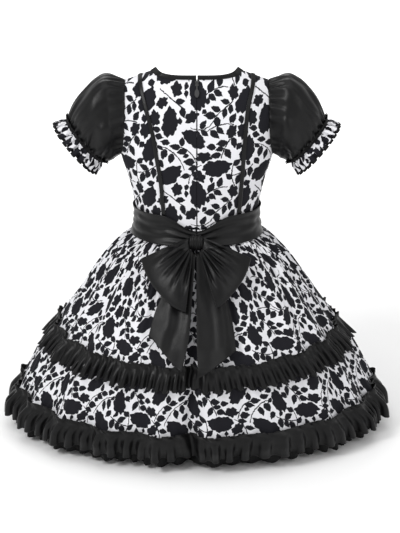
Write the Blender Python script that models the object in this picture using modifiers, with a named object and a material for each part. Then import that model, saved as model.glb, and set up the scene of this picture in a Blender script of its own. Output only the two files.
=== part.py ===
"""A girl's folk dress in two gathered tiers, filled out as it is worn and open inside.

The front faces -Y and the wearer's left side is +X. The origin is where the dress hangs from the
shoulders, level with the top of the neck. Sizes in the tables are millimetres, angles are degrees.
A turn of 0 is the wearer's left side, 90 the centre back and 270 the centre front.
"""

import math
from collections import namedtuple

import bmesh
import bpy
from mathutils import Vector

MM = 0.001
NAME = "folk_dress"

# Cloth, and the room left between pieces.
WALL = 1.5
THIN_WALL = 1.1
GAP = 0.3
SEAM = 0.35
SHOULDER_SEAM = 1.1
SIDE_SEAM = 0.5
LAID_ON = 0.8
CENTRE_Y = 4.0

# Driving sizes of the garment.
NECK_HALF = 79.5
NECK_TOP_Z = -5.5
BACK_NECK_Z = -14.0
FRONT_NECK_Z = -68.0
BINDING_WIDTH = 6.0
BINDING_WALL = 2.2
BINDING_TOP_HALF = 71.0
BINDING_LEAN = 0.5
EDGE_SHARE = 0.001
SHOULDER_HALF = 124.4
SHOULDER_Z = -22.0
UNDERARM_Z = -152.0
WAIST_Z = -270.0
UPPER_TIER_HEIGHTS = (-474, -430, -385, -345, -318, -298, -270.3)
LOWER_TIER_HEIGHTS = (-594, -550, -510, -475.8)
SKIRT_FOLDS = 20
UPPER_RUFFLE_WAVES = 48
LOWER_RUFFLE_WAVES = 44
UNDER_FRILL_WAVES = 20
CUFF_WAVES = 12
STEPS_PER_WAVE = 4
RIBBON_WIDTH = 7.0
ZIP_GAP = 5.6
NECK_STEPS = 6
SHOULDER_STEPS = 5
BODICE_RISES = (0.0, 0.085, 0.14, 0.3, 0.4, 0.476, 0.58, 0.72, 0.85, 0.94, 1.0)


def table(columns, rows):
    """Rows with named columns, sorted by the first one, which is the key."""
    row_type = namedtuple("Row", columns)
    return sorted(row_type(*row) for row in rows)


# The bodice's side seam: half its width, half its depth behind and before, and how square it is.
TORSO = table(
    "z half back front square",
    [
        (-272, 107.5, 80, 84, 2.0),
        (-256, 107.8, 79, 84, 2.0),
        (-243, 110.0, 78, 86, 2.05),
        (-224, 114.0, 78, 90, 2.2),
        (-206, 118.0, 78, 94, 2.3),
        (-187, 123.0, 78, 97, 2.4),
        (-152, 134.0, 77, 98, 2.5),
        (-125, 139.0, 77, 98, 2.6),
        (-100, 142.0, 77, 98, 2.6),
        (20, 142.0, 77, 98, 2.6),
    ],
)

# How far the cloth stands off the shoulder line, as a share of its depth, by the drop below it.
SHOULDER_FALL = table(
    "drop back front",
    [
        (0, 0.00, 0.00),
        (8, 0.29, 0.17),
        (25, 0.53, 0.36),
        (55, 0.74, 0.60),
        (95, 0.88, 0.82),
        (145, 0.98, 0.98),
        (200, 1.00, 1.00),
        (300, 1.00, 1.00),
    ],
)

# The edge of the armhole, seen from the front.
ARMHOLE = table(
    "z half",
    [
        (-152, 134.0),
        (-145, 131.0),
        (-125, 127.5),
        (-93, 125.3),
        (-50, 124.5),
        (-22, 124.4),
        (20, 124.4),
    ],
)
ARMHOLE_HALF_HEIGHT = 65.0
ARMHOLE_TUCK = 0.4

# The skirt's wall at the side seam, its depth behind and before, how much lower it hangs at the
# centre back, and how deep its folds are.
SKIRT = table(
    "z side back front dip fold",
    [
        (-660, 336, 230, 230, 1, 5.0),
        (-638, 334, 232, 232, 1, 5.5),
        (-612, 329, 242, 240, 2, 5.5),
        (-591, 320, 252, 247, 3, 5.5),
        (-551, 300, 246, 241, 3, 5.0),
        (-515, 280, 238, 232, 4, 4.8),
        (-490, 262, 234, 226, 4, 4.6),
        (-474, 251, 230, 221, 5, 4.6),
        (-443, 229, 205, 198, 4, 5.0),
        (-414, 209, 182, 177, 3, 4.8),
        (-385, 190, 161, 157, 3, 4.5),
        (-357, 171, 142, 139, 2, 4.0),
        (-337, 156, 127, 125, 1, 3.5),
        (-318, 139, 111, 111, 0, 2.5),
        (-303, 122, 96, 98, 0, 1.5),
        (-297, 113, 89, 91, 0, 0.8),
        (-284, 109, 83, 86, 0, 0.4),
        (-270, 107.5, 80, 84, 0, 0.3),
    ],
)

# Ruffles: how far each line of the strip stands off the skirt, and how deep its waves are there.
UPPER_RUFFLE = table(
    "z off wave",
    [(-503, 7.6, 3.8), (-472, 4.8, 0.9), (-462, 6.5, 2.0)],
)
LOWER_RUFFLE = table(
    "z off wave",
    [(-637, 10.5, 5.5), (-614, 12.0, 4.4), (-591, 5.2, 1.2), (-579, 7.5, 2.6)],
)
UNDER_FRILL = table("z off wave", [(-652, -5.0, 4.0), (-620, -3.0, 2.2), (-595.3, 0.0, 0.0)])

# The deep fold that runs down the centre back.
VALLEY_TURN = 88.0
VALLEY_SPREAD = 2.6
VALLEY = table("z depth", [(-660, 15.0), (-474, 12.0), (-380, 6.0), (-300, 0.0), (-250, 0.0)])

# Folds and waves: how the turns are shifted so that they come unevenly, and how their depth varies.
TURN_SHIFTS = ((3, 1.9, 0.6), (5, 1.1, 2.0))
FOLD_UNEVEN = 0.35
WAVE_UNEVEN = 0.25
WAVE_SWELLS = 7
FOLD_PHASE = math.pi - math.radians(SKIRT_FOLDS * (VALLEY_TURN + 0.4))

# The sash's outer face, pulled in round the waist.
SASH = table(
    "z half back front",
    [
        (-303, 121.5, 100.0, 102.0),
        (-296, 117.0, 93.5, 95.5),
        (-285, 114.5, 88.5, 90.5),
        (-271, 112.0, 84.5, 88.8),
        (-258, 112.0, 84.0, 89.0),
        (-247, 114.0, 84.8, 90.5),
    ],
)
SASH_TOP_Z = -247.0
SASH_BOTTOM_Z = -298.0
SASH_FOLDS = 3
SASH_FOLD = 0.9
SASH_NARROWS_AT = 62.0
SASH_NARROW_TOP = 31.0
SASH_NARROW_BOTTOM = -5.0
SASH_SIDE_TURN = 0.25
SASH_FRONT_STEPS = 22
SASH_BACK_STEPS = 12

# The puff sleeve's sections, from the armhole to the cuff: the middle, half the height and depth,
# and the lean of the section's own upright.
SLEEVE = table(
    "along middle_x middle_z high deep lean",
    [
        (0.00, 129.7, -87.0, 65.0, 37.0, 4.2),
        (0.14, 142.5, -86.5, 71.5, 51.0, 2.0),
        (0.30, 153.5, -87.5, 75.0, 59.0, 5.0),
        (0.50, 166.5, -94.0, 72.0, 61.0, 10.7),
        (0.68, 178.5, -104.8, 65.5, 57.0, 18.0),
        (0.85, 189.0, -118.0, 57.5, 49.0, 28.5),
        (1.00, 196.2, -132.0, 47.5, 38.0, 40.0),
    ],
)
SLEEVE_ROWS = (0.0, 0.08, 0.2, 0.4, 0.62, 0.82, 1.0)
SLEEVE_CAP = 0.2
SLEEVE_Y = 2.0
SLEEVE_STEPS = 20
SLEEVE_PUCKER = 1.6
SLEEVE_GAP = 1.0

# The cuff's strip: its place along the arm past the sleeve's end, its spread and its waves.
CUFF = table("along spread wave", [(-4.5, 7.4, 1.6), (1.6, 1.2, 0.5), (23.0, 6.0, 4.0)])

# The shoulder ribbons' middle line, seen from behind on each side and from the front.
RIBBON = table(
    "z left_back right_back front",
    [
        (-246, 57.5, 72.5, 66.0),
        (-188, 62.0, 77.0, 73.0),
        (-147, 68.5, 80.0, 79.0),
        (-105, 75.5, 83.0, 86.0),
        (-64, 86.5, 87.0, 92.0),
        (-14, 98.0, 97.0, 97.5),
        (20, 98.0, 97.0, 97.5),
    ],
)
RIBBON_SETTLES = 40.0
RIBBON_DROPS = (236, 205, 180, 157, 135, 113, 92, 73, 56, 41, 28, 17, 8, 3)

# The bow lies on the slope of the skirt's back. Distances run down that slope from the knot.
KNOT_X = 1.5
KNOT_Z = -293.0
SLOPE_DROP = 0.82
SLOPE_OUT = 0.83
SLOPE_UP = 0.5
KNOT_HALF_WIDTH = 11.0
KNOT_HALF_HEIGHT = 14.0
KNOT_HALF_DEPTH = 8.5
KNOT_LIFT = 12.0
KNOT_FOLDS = 3
KNOT_FOLD = 0.5
KNOT_WAIST = 0.1
LOOP = table("angle reach", [(15, 101), (36, 107), (55, 113), (72, 122), (84, 126)])
LOOP_SPAN = {1: (22.5, 82.0), -1: (22.0, 73.0)}
LOOP_ROOT_X = 12.6
LOOP_ROOT_DOWN = 19.0
LOOP_ROOT_TURN = (-18.0, 76.0)
LOOP_ROOT_LIFT = 12.5
LOOP_PUFF = 8.0
LOOP_LIFT = 23.0
LOOP_LEAF_GAP = 2.6
LOOP_FOLDS = 5
LOOP_FOLD = 2.0
LOOP_UNDER_FOLD = 0.4
LOOP_RISES_BY = 1.6
TAILS = {
    1: table(
        "along inner_x inner_down outer_x outer_down",
        [
            (0.0, 0.6, 20, 15, 18),
            (0.4, 6, 90, 54, 84),
            (0.72, 11, 162, 72, 130),
            (1.0, 25, 228, 81, 166),
        ],
    ),
    -1: table(
        "along inner_x inner_down outer_x outer_down",
        [
            (0.0, -0.6, 20, -12, 18),
            (0.4, -0.6, 90, -52, 96),
            (0.72, -1, 165, -64, 148),
            (1.0, -4, 240, -69, 190),
        ],
    ),
}
TAIL_LIFT = table(
    "down lift",
    [
        (0, 3.2),
        (40, 5.2),
        (70, 8.8),
        (130, 10.5),
        (185, 12.0),
        (212, 16.0),
        (226, 21.0),
        (250, 23.0),
    ],
)
TAIL_FOLD = 2.2

# The concealed zip's slider and its drop-shaped tab.
ZIP_Z = -20.0
ZIP_SLOPE = 48.6
ZIP_SEAT = -0.3
SLIDER_WIDTH = 6.4
SLIDER_LENGTH = 9.0
SLIDER_THICK = 1.6
SLIDER_SHIFT = 1.5
LUG_THICK = 1.1
LUG_INSIDE = 1.75
LUG_LENGTH = 3.4
LUG_HEIGHT = 4.2
LUG_Z = -0.9
PIN_RADIUS = 0.6
PIN_RISE = 2.0
PIN_BACK = 2.0
EYE_RADIUS = 1.5
EYE_BORE = 0.95
EYE_WIDTH = 2.6
TAB_WIDTH = 8.0
TAB_NECK = 2.4
TAB_LENGTH = 29.0
TAB_OVAL = 15.5
TAB_THICK = 1.2
TAB_OVAL_THICK = 1.5
TAB_TILT = 4.0


def smooth(rows, column, key):
    """Reads a column between the rows, on a curve that keeps to their rises and falls."""
    low = 0
    while low < len(rows) - 2 and rows[low + 1][0] <= key:
        low += 1
    key = min(max(key, rows[0][0]), rows[-1][0])

    def value(i):
        return getattr(rows[i], column)

    def secant(i):
        return (value(i + 1) - value(i)) / (rows[i + 1][0] - rows[i][0])

    def slope(i):
        if i in (0, len(rows) - 1):
            return secant(min(i, len(rows) - 2))
        before, after = secant(i - 1), secant(i)
        return 0.0 if before * after <= 0 else 2 * before * after / (before + after)

    width = rows[low + 1][0] - rows[low][0]
    t = (key - rows[low][0]) / width
    rise = t * t * (3 - 2 * t)
    into = t * (1 - t) ** 2 * width * slope(low)
    out_of = t * t * (1 - t) * width * slope(low + 1)
    return value(low) * (1 - rise) + value(low + 1) * rise + into - out_of


def ease(t):
    t = min(max(t, 0.0), 1.0)
    return t * t * (3 - 2 * t)


# Materials and objects.
def make_material(name, colour, roughness, metallic=0.0):
    made = bpy.data.materials.new(name)
    made.use_nodes = True
    shader = made.node_tree.nodes["Principled BSDF"]
    shader.inputs["Base Color"].default_value = (*colour, 1.0)
    shader.inputs["Roughness"].default_value = roughness
    shader.inputs["Metallic"].default_value = metallic
    return made


def clear_scene():
    for thing in list(bpy.data.objects):
        bpy.data.objects.remove(thing, do_unlink=True)


def new_collection(name):
    made = bpy.data.collections.new(name)
    bpy.context.scene.collection.children.link(made)
    return made


def sheet(name, finish, point, across, along, wall=WALL, ring=False, turned=False):
    """A wall of cloth: a grid bent to point(across, along), in millimetres, thickened inwards."""
    shell = bmesh.new()
    bmesh.ops.create_grid(shell, x_segments=len(across) - 1, y_segments=len(along) - 1, size=0.5)
    for vertex in shell.verts:
        i = round((vertex.co.x + 0.5) * (len(across) - 1))
        j = round((vertex.co.y + 0.5) * (len(along) - 1))
        vertex.co = Vector(point(across[i], along[j])) * MM
    if ring:
        bmesh.ops.remove_doubles(shell, verts=shell.verts, dist=0.00001)
    if turned:
        bmesh.ops.reverse_faces(shell, faces=shell.faces)
    for face in shell.faces:
        face.smooth = True
    mesh = bpy.data.meshes.new(name)
    shell.to_mesh(mesh)
    shell.free()
    thing = bpy.data.objects.new(name, mesh)
    thing.data.materials.append(finish)
    parts.objects.link(thing)
    thick = thing.modifiers.new("wall", "SOLIDIFY")
    thick.thickness = wall * MM
    thick.offset = -1
    return thing


def steps(start, end, count):
    return [start + (end - start) * i / count for i in range(count + 1)]


def seam_turns(start, end, count):
    """Turns between two seams, closer together near the seams."""
    middle, half = (start + end) / 2, (end - start) / 2
    return [middle - half * math.cos(math.pi * i / count) for i in range(count + 1)]


# The bodice.
def shoulder_line(x):
    """Height of the shoulder's ridge."""
    fall = (SHOULDER_Z - NECK_TOP_Z) / (SHOULDER_HALF - NECK_HALF)
    return min(0.0, NECK_TOP_Z + fall * (abs(x) - NECK_HALF))


def torso_y(x, z, side):
    """Depth of the bodice's outer face: side is 1 behind and -1 before."""
    column = "back" if side > 0 else "front"
    depth = smooth(TORSO, column, z) * smooth(SHOULDER_FALL, column, shoulder_line(x) - z)
    share = min(abs(x) / smooth(TORSO, "half", z), 1.0)
    power = smooth(TORSO, "square", z)
    return CENTRE_Y + side * depth * (1 - share**power) ** (1 / power)


def panel_edge(z):
    """Half the panel's width: the side seam up to the underarm, then the armhole."""
    return smooth(TORSO if z < UNDERARM_Z else ARMHOLE, "half", z)


def neck_edge(x, side):
    """Height of the cut neckline."""
    share = min(abs(x) / NECK_HALF, 1.0)
    low = BACK_NECK_Z if side > 0 else FRONT_NECK_Z
    return low + (NECK_TOP_Z - low) * (share**3 if side < 0 else share**4)


def panel_top(x, side):
    return neck_edge(x, side) if abs(x) < NECK_HALF else shoulder_line(x)


def bodice_point(share, rise, side, out=0.0):
    """A point of the bodice: share runs from the centre to the seam, rise from the waist up."""
    top = panel_top(share * SHOULDER_HALF, side)
    z = WAIST_Z + GAP + (top - WAIST_Z - GAP) * rise
    x = share * panel_edge(z)
    return moved_out(x, z, side, out)


def moved_out(x, z, side, out):
    """The bodice's face at x and z, moved out along its own normal, and kept off the other face."""
    small = 0.5
    y = torso_y(x, z, side)
    lean_x = (torso_y(x + small, z, side) - torso_y(x - small, z, side)) / (2 * small)
    lean_z = (torso_y(x, z + small, side) - torso_y(x, z - small, side)) / (2 * small)
    normal = Vector((-side * lean_x, side, -side * lean_z)).normalized()
    seam = SHOULDER_SEAM if z > UNDERARM_Z else SEAM
    y = CENTRE_Y + side * max(abs(y - CENTRE_Y), seam)
    return Vector((x, y, z)) + normal * out


def panel_shares():
    """Shares of the half width: even steps along the neckline, then closer towards the seam."""
    neck = NECK_HALF / SHOULDER_HALF
    along_neck = [neck * math.sin(math.pi / 2 * i / NECK_STEPS) for i in range(NECK_STEPS)]
    rises = [math.sin(math.pi / 2 * i / SHOULDER_STEPS) for i in range(SHOULDER_STEPS + 1)]
    return along_neck + [neck + (1 - neck) * rise for rise in rises]


def make_bodice(print_cloth):
    shares = panel_shares()
    front = [-s for s in reversed(shares)] + shares[1:]
    sheet("bodice_front", print_cloth, lambda s, r: bodice_point(s, r, -1), front, BODICE_RISES)
    for label, hand in (("left", 1), ("right", -1)):

        def half_back(s, r, hand=hand):
            x, y, z = bodice_point(max(s, 0.0), r, 1)
            return Vector((hand * max(x, SEAM), y, z))

        sheet(
            f"bodice_back_{label}",
            print_cloth,
            half_back,
            shares,
            BODICE_RISES,
            turned=hand > 0,
        )


def make_binding(satin):
    """A strip past the cut neckline, from one side of the zip round to the other."""
    half = [share * SHOULDER_HALF for share in panel_shares()[: NECK_STEPS + 1]]
    half_gap = ZIP_GAP / 2
    behind = [(x, 1) for x in half if x > half_gap]
    before = [(x, -1) for x in half[:-1]]
    left = [(half_gap, 1)] + behind + before[::-1]
    stations = left[:-1] + [(0.0, -1)] + [(-x, side) for x, side in left[:-1][::-1]]

    def strip(station, rise):
        x, side = stations[station]
        share = abs(x) / NECK_HALF
        foot = neck_edge(x, side) + GAP
        in_by = (NECK_HALF - BINDING_TOP_HALF) * rise * share**2
        lift = BINDING_WIDTH * rise
        column = "back" if side > 0 else "front"
        drop = max(shoulder_line(x) - foot, 0.0)
        depth = smooth(TORSO, column, foot) * smooth(SHOULDER_FALL, column, drop)
        power = smooth(TORSO, "square", foot)
        depth *= (1 - (abs(x) / smooth(TORSO, "half", foot)) ** power) ** (1 / power)
        depth -= BINDING_LEAN * lift * (1 - share**2)
        if share > 1 - EDGE_SHARE:
            depth = 0.0
        return Vector((x - math.copysign(in_by, x), CENTRE_Y + side * depth, foot + lift))

    order = list(range(len(stations)))
    sheet("neck_binding", satin, strip, order, (0.0, 1.0), wall=BINDING_WALL, turned=True)


def make_ribbons(satin):
    """A flat strip on the bodice, from the sash behind, over the shoulder, to the sash before."""
    for label, hand, column in (("left", 1, "left_back"), ("right", -1, "right_back")):
        stations = [(drop, 1) for drop in RIBBON_DROPS]
        stations += [(0, 0)] + [(drop, -1) for drop in reversed(RIBBON_DROPS)]

        def strip(across, station, hand=hand, column=column):
            drop, side = stations[station]
            ridge = shoulder_line(RIBBON[-1].front)
            middle = smooth(RIBBON, "front" if side < 0 else column, ridge - drop)
            x = middle + across * RIBBON_WIDTH / 2
            share = min(drop / RIBBON_SETTLES, 1.0)
            z = shoulder_line(x) * (1 - share) + ridge * share - drop
            if side:
                place = moved_out(x, z, side, LAID_ON + THIN_WALL)
            else:
                place = Vector((x, CENTRE_Y, z + LAID_ON + THIN_WALL))
            return Vector((hand * place.x, place.y, place.z))

        order = list(range(len(stations)))
        sheet(f"ribbon_{label}", satin, strip, (-1, 1), order, wall=THIN_WALL, turned=hand > 0)


# The skirt.
def fold_turn(turn):
    """Uneven spacing for folds and waves, the same on every tier so that they nest."""
    angle = math.radians(turn)
    return turn + sum(size * math.sin(count * angle + phase) for count, size, phase in TURN_SHIFTS)


def ring(turn, z, off=0.0, wave=0.0, phase=0.0):
    """A point of the skirt's wall, moved out by off and by a wave."""
    place = math.radians(fold_turn(turn))
    side = smooth(SKIRT, "side", z)
    depth = smooth(SKIRT, "back" if math.sin(place) > 0 else "front", z)
    normal = Vector((math.cos(place) / side, math.sin(place) / depth, 0)).normalized()
    uneven = 1 + FOLD_UNEVEN * math.sin(2 * place + 1) * math.sin(4 * place)
    fold = math.cos(math.radians(SKIRT_FOLDS * turn) + FOLD_PHASE)
    out = smooth(SKIRT, "fold", z) * uneven * fold
    apart = (math.degrees(place) % 360 - VALLEY_TURN) / VALLEY_SPREAD
    out -= smooth(VALLEY, "depth", z) * math.exp(-apart * apart)
    out += off + wave * math.cos(phase)
    low = smooth(SKIRT, "dip", z) * max(math.sin(place), 0.0) ** 2
    base = Vector((side * math.cos(place), CENTRE_Y + depth * math.sin(place), z - low))
    return base + normal * out


def make_tiers(print_cloth):
    """Each tier is a front and a back panel, kept off each other at the side seams."""
    count = SKIRT_FOLDS * STEPS_PER_WAVE // 2
    for label, start in (("back", 0), ("front", 180)):

        def panel(turn, z, start=start):
            seam = math.degrees(SIDE_SEAM / smooth(SKIRT, "side", z))
            return ring(min(max(turn, start + seam), start + 180 - seam), z)

        for tier, heights in (("upper", UPPER_TIER_HEIGHTS), ("lower", LOWER_TIER_HEIGHTS)):
            turns = steps(start, start + 180, count)
            sheet(f"skirt_{tier}_{label}", print_cloth, panel, turns, heights)


def make_ruffle(name, cloth, rows, waves, wall):
    count = waves * STEPS_PER_WAVE

    def strip(turn, z):
        swell = 1 + WAVE_UNEVEN * math.sin(math.radians(WAVE_SWELLS * turn))
        wave = smooth(rows, "wave", z) * swell
        return ring(turn, z, smooth(rows, "off", z), wave, math.radians(waves * turn))

    turns = steps(0, 360, count)
    heights = [row.z for row in rows]
    sheet(name, cloth, strip, turns, heights, wall=wall, ring=True)


# The sleeves.
def sleeve_point(around, along, hand):
    """Around runs from the back (0) over the top (90); along runs from the armhole to the cuff."""
    angle = math.radians(around)
    up, back = math.sin(angle), math.cos(angle)
    mid_x = smooth(SLEEVE, "middle_x", along)
    mid_z = smooth(SLEEVE, "middle_z", along)
    high = smooth(SLEEVE, "high", along)
    deep = smooth(SLEEVE, "deep", along)
    lean = math.radians(smooth(SLEEVE, "lean", along))
    pucker = SLEEVE_PUCKER * math.cos(angle * SLEEVE_STEPS / 2) * (1 - along) * along * 4
    high, deep = up * (high + pucker), back * (deep + pucker)
    place = Vector((mid_x + high * math.sin(lean), SLEEVE_Y + deep, mid_z + high * math.cos(lean)))
    if along < SLEEVE_CAP:
        z = (UNDERARM_Z + SHOULDER_Z) / 2 + up * ARMHOLE_HALF_HEIGHT
        z = min(max(z, UNDERARM_Z + ARMHOLE_TUCK), SHOULDER_Z)
        x = smooth(ARMHOLE, "half", z)
        y = torso_y(min(x, smooth(TORSO, "half", z)), z, 1 if back > 0 else -1)
        place = Vector((x + SLEEVE_GAP, y, z)).lerp(place, ease(along / SLEEVE_CAP))
    return Vector((hand * place.x, place.y, place.z))


def cuff_point(around, along, hand):
    """The cuff's strip, gathered at the sleeve's end and flaring past it."""
    end = SLEEVE[-1]
    angle = math.radians(around)
    lean = math.radians(end.lean)
    spread = smooth(CUFF, "spread", along)
    spread += smooth(CUFF, "wave", along) * math.cos(CUFF_WAVES * angle)
    up = math.sin(angle) * (end.high + spread)
    back = math.cos(angle) * (end.deep + spread)
    x = end.middle_x + up * math.sin(lean) + along * math.cos(lean)
    z = end.middle_z + up * math.cos(lean) - along * math.sin(lean)
    return Vector((hand * x, SLEEVE_Y + back, z))


def make_sleeves(satin, print_cloth):
    for label, hand in (("left", 1), ("right", -1)):
        sheet(
            f"sleeve_{label}",
            satin,
            lambda a, t, hand=hand: sleeve_point(a, t, hand),
            steps(0, 360, SLEEVE_STEPS),
            SLEEVE_ROWS,
            ring=True,
            turned=hand < 0,
        )
        sheet(
            f"cuff_ruffle_{label}",
            print_cloth,
            lambda a, t, hand=hand: cuff_point(a, t, hand),
            steps(0, 360, CUFF_WAVES * STEPS_PER_WAVE),
            [row.along for row in CUFF],
            wall=THIN_WALL,
            ring=True,
            turned=hand < 0,
        )


# The sash and the bow.
def sash_point(turn, rise):
    """The sash's outer face, with soft folds along it, drawn in to the knot behind."""
    angle = math.radians(turn)
    back = math.sin(angle) > 0
    x = smooth(SASH, "half", WAIST_Z) * math.cos(angle)
    narrow = ease((SASH_NARROWS_AT - abs(x)) / SASH_NARROWS_AT) if back else 0.0
    top = SASH_TOP_Z - SASH_NARROW_TOP * narrow
    bottom = SASH_BOTTOM_Z - SASH_NARROW_BOTTOM * narrow
    z = bottom + (top - bottom) * rise
    half = smooth(SASH, "half", z)
    depth = smooth(SASH, "back" if back else "front", z)
    fold = SASH_FOLD * math.sin(math.pi * SASH_FOLDS * rise * 2) * math.sin(math.pi * rise)
    x = (half + fold) * math.cos(angle)
    return Vector((x, CENTRE_Y + (depth + fold) * math.sin(angle), z))


def make_sash(satin):
    rises = steps(0, 1, SASH_FOLDS)
    edge = SASH_SIDE_TURN
    centre = 90 - math.degrees(SEAM / smooth(SASH, "half", WAIST_Z))
    front = seam_turns(180 + edge, 360 - edge, SASH_FRONT_STEPS)
    sheet("sash_front", satin, sash_point, front, rises)
    sheet("sash_back_left", satin, sash_point, steps(edge, centre, SASH_BACK_STEPS), rises)
    right = steps(180 - centre, 180 - edge, SASH_BACK_STEPS)
    sheet("sash_back_right", satin, sash_point, right, rises)


def back_slope(x, down, lift):
    """A point above the skirt's back, so far down its slope from the knot."""
    z = KNOT_Z - down * SLOPE_DROP
    side = smooth(SKIRT, "side", z)
    skirt = smooth(SKIRT, "back", z) * math.sqrt(max(1 - (x / side) ** 2, 0.0))
    half = smooth(SASH, "half", z)
    sash = smooth(SASH, "back", z) * math.sqrt(max(1 - (x / half) ** 2, 0.0))
    y = CENTRE_Y + max(skirt, sash) + lift * SLOPE_OUT
    return Vector((KNOT_X + x, y, z + lift * SLOPE_UP))


def make_knot(satin):
    """The tie band: a short tube of cloth round the bow's middle, open at its two sides."""
    centre = back_slope(0, 0, KNOT_LIFT)

    def band(turn, across):
        angle = math.radians(turn)
        fold = KNOT_FOLD * math.cos(math.pi * KNOT_FOLDS * across)
        swell = 1 - KNOT_WAIST * across * across
        y = (KNOT_HALF_DEPTH + fold) * swell * math.cos(angle)
        z = (KNOT_HALF_HEIGHT + fold) * swell * math.sin(angle)
        return centre + Vector((across * KNOT_HALF_WIDTH, y, z))

    sheet("bow_knot", satin, band, steps(0, 360, 16), steps(-1, 1, 4), ring=True, turned=True)


def loop_point(across, around, hand):
    """A loop of the bow: across runs from its upper to its lower edge, around out and back."""
    upper, lower = LOOP_SPAN[hand]
    angle = math.radians(upper + (lower - upper) * across)
    reach = smooth(LOOP, "reach", math.degrees(angle))
    turn = 2 * math.pi * around
    share = (1 - math.cos(turn)) / 2
    start, end = LOOP_ROOT_TURN
    corner = math.radians(start + (end - start) * across)
    root_down = math.copysign(abs(math.sin(corner)) ** 0.5, corner)
    root = Vector((LOOP_ROOT_X * math.cos(corner) ** 0.5, LOOP_ROOT_DOWN * root_down))
    tip = Vector((reach * math.cos(angle), reach * math.sin(angle)))
    place = root.lerp(tip, share)
    puff = LOOP_PUFF * math.sin(turn) * (1 + math.sin(math.pi * across)) / 2
    fold = LOOP_FOLD * math.cos(2 * math.pi * LOOP_FOLDS * across) * math.sin(turn) ** 2
    fold *= 1 if around < 0.5 else LOOP_UNDER_FOLD
    lift = LOOP_ROOT_LIFT + (LOOP_LIFT - LOOP_ROOT_LIFT) * ease(share * LOOP_RISES_BY)
    lift += puff + LOOP_LEAF_GAP * math.cos(turn / 2) + fold
    return back_slope(hand * place.x, place.y, lift)


def tail_point(across, along, hand):
    """A tail of the bow: across runs from its inner to its outer edge, along from knot to tip."""
    rows = TAILS[hand]
    inner = Vector((smooth(rows, "inner_x", along), smooth(rows, "inner_down", along)))
    outer = Vector((smooth(rows, "outer_x", along), smooth(rows, "outer_down", along)))
    place = inner.lerp(outer, across)
    lift = smooth(TAIL_LIFT, "lift", place.y)
    lift += TAIL_FOLD * math.cos(3 * math.pi * across) * ease(along * 2)
    return back_slope(place.x, place.y, lift)


def make_bow(satin):
    make_knot(satin)
    for label, hand in (("left", 1), ("right", -1)):
        sheet(
            f"bow_loop_{label}",
            satin,
            lambda a, r, hand=hand: loop_point(a, r, hand),
            steps(0, 1, 8),
            steps(0, 1, 10),
            turned=hand > 0,
        )
        sheet(
            f"bow_tail_{label}",
            satin,
            lambda a, t, hand=hand: tail_point(a, t, hand),
            steps(0, 1, 6),
            steps(0, 1, 8),
            turned=hand > 0,
        )


# The zip's slider and tab.
def block(name, size, place, finish, into):
    """A box of the given size with its middle at place, in millimetres."""
    bpy.ops.mesh.primitive_cube_add(size=1, location=Vector(place) * MM)
    thing = bpy.context.object
    return settle(thing, name, Vector(size) * MM, finish, into)


def rod(name, radius, length, place, finish, into, sides=16):
    """A round bar along X."""
    bpy.ops.mesh.primitive_cylinder_add(
        vertices=sides, radius=radius * MM, depth=length * MM, rotation=(0, math.pi / 2, 0)
    )
    thing = bpy.context.object
    thing.location = Vector(place) * MM
    return settle(thing, name, Vector((1, 1, 1)), finish, into)


def settle(thing, name, scale, finish, into):
    thing.name = name
    thing.data.name = name
    thing.scale = scale
    thing.data.materials.append(finish)
    for owner in list(thing.users_collection):
        owner.objects.unlink(thing)
    into.objects.link(thing)
    bpy.context.view_layer.update()
    thing.data.transform(thing.matrix_world)
    thing.matrix_world.identity()
    return thing


def combine(thing, other, operation):
    other.hide_render = True
    other.display_type = "WIRE"
    change = thing.modifiers.new(other.name, "BOOLEAN")
    change.operation = operation
    change.solver = "EXACT"
    change.object = other


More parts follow.
